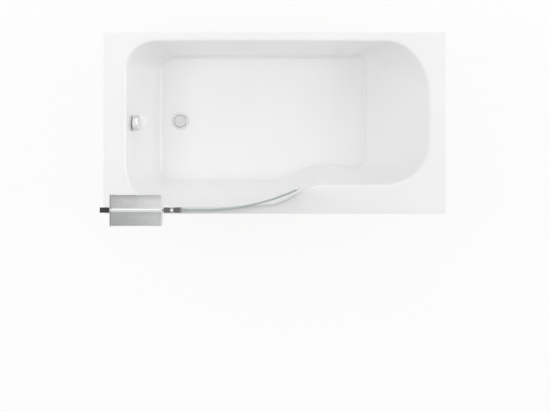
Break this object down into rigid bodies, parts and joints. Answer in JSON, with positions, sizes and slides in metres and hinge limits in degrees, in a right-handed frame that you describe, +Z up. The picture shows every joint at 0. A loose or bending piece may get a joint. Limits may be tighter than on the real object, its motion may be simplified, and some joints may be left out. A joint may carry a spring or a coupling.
{
  "type": "shower bath",
  "caption": "Shower bath with a basin that widens at the drain end, on adjustable feet, with a curved hinged glass screen and a hanging storage rack.",
  "frame": {"origin": "centre of the footprint, on the floor", "axes": "+X from the drain end to the backrest end, +Y from the room side to the long wall, +Z up"},
  "size_m": [1.7, 0.962, 2.145],
  "materials": {
    "acrylic": "glossy white sanitary acrylic",
    "chipboard": "raw chipboard",
    "timber": "sawn softwood",
    "zinc_steel": "bright zinc plate",
    "black_plastic": "moulded, matt",
    "rubber": "matt",
    "chrome": "polished",
    "satin_chrome": "satin",
    "white_plastic": "moulded, satin",
    "satin_aluminium": "satin anodised",
    "screen_glass": "clear safety glass",
    "white_metal": "white powder coat",
    "dark_chrome": "dark polished",
    "grey_metal": "satin",
    "dark_metal": "satin",
    "light_metal": "satin",
    "grey_seal": "satin",
    "clear_seal": "translucent, flexible",
    "clear_plastic": "clear moulding",
    "white_tray": "white, satin gloss"
  },
  "bodies": {
    "bath": {"bath_shell": "acrylic", "base_board": "chipboard", "front_batten": "timber", "back_batten": "timber", "end_battens": "timber", "leg_rail_left": "zinc_steel", "leg_rail_right": "zinc_steel", "frame_screws": "zinc_steel", "lock_nuts": "zinc_steel", "wall_clips": "zinc_steel", "waste_flange_seal": "rubber", "waste_flange": "satin_chrome", "waste_body_seal": "rubber", "waste_body": "white_plastic", "overflow_elbow": "white_plastic", "overflow_seal": "rubber", "overflow_face": "chrome", "overflow_pipe": "white_plastic", "control_cable": "black_plastic", "trap_body": "white_plastic", "trap_inlet_nut": "white_plastic", "trap_outlet_nut": "white_plastic", "trap_outlet_seal": "rubber", "wall_profile": "satin_aluminium", "adjusting_profile": "satin_aluminium", "glazing_gasket": "grey_seal", "profile_cap": "black_plastic", "profile_screws": "zinc_steel", "fixed_glass": "screen_glass", "fixed_bottom_rail": "white_metal", "post_profile": "grey_metal", "top_hinge_fixed": "dark_chrome", "top_hinge_pin": "chrome", "low_hinge_fixed": "dark_chrome", "rack_plate_left": "dark_metal", "rack_plate_right": "grey_metal", "rack_rod": "light_metal", "upper_tray_outer": "white_tray", "upper_tray_inner": "white_tray", "lower_tray": "white_tray", "rack_screws": "zinc_steel"},
    "screen": {"top_hinge_swing": "dark_chrome", "low_hinge_swing": "dark_chrome", "swing_glass": "screen_glass", "swing_edge_seal": "grey_seal", "swing_bottom_strip": "dark_metal", "drip_seal": "clear_seal", "splash_deflector": "clear_plastic"},
    "knob": {"overflow_knob": "chrome"},
    "plug": {"waste_plug": "satin_chrome", "plug_seal": "rubber"},
    "foot_front_left": {"foot_rod_front_left": "zinc_steel", "foot_pad_front_left": "black_plastic"},
    "foot_front_right": {"foot_rod_front_right": "zinc_steel", "foot_pad_front_right": "black_plastic"},
    "foot_back_left": {"foot_rod_back_left": "zinc_steel", "foot_pad_back_left": "black_plastic"},
    "foot_back_right": {"foot_rod_back_right": "zinc_steel", "foot_pad_back_right": "black_plastic"}
  },
  "joints": [
    {"name": "screen_swing", "type": "hinge", "parent": "bath", "child": "screen", "pos_m": [-0.5, -0.401, 0.58], "axis": [0, 0, 1], "range_deg": [-90, 90]},
    {"name": "overflow_turn", "type": "hinge", "parent": "bath", "child": "knob", "pos_m": [-0.70989, 0.031, 0.508], "axis": [0.9315, 0, 0.3637], "range_deg": [0, 90]},
    {"name": "plug_rise", "type": "slide", "parent": "bath", "child": "plug", "axis": [0, 0, 1], "range_m": [0, 0.01]},
    {"name": "foot_height_front_left", "type": "slide", "parent": "bath", "child": "foot_front_left", "axis": [0, 0, 1], "range_m": [-0.01, 0.01]},
    {"name": "foot_height_front_right", "type": "slide", "parent": "bath", "child": "foot_front_right", "axis": [0, 0, 1], "range_m": [-0.01, 0.01]},
    {"name": "foot_height_back_left", "type": "slide", "parent": "bath", "child": "foot_back_left", "axis": [0, 0, 1], "range_m": [-0.01, 0.01]},
    {"name": "foot_height_back_right", "type": "slide", "parent": "bath", "child": "foot_back_right", "axis": [0, 0, 1], "range_m": [-0.01, 0.01]}
  ],
  "couplings": [
    {"joint": "plug_rise", "follows": "overflow_turn", "m_per_rad": 0.006366}
  ]
}
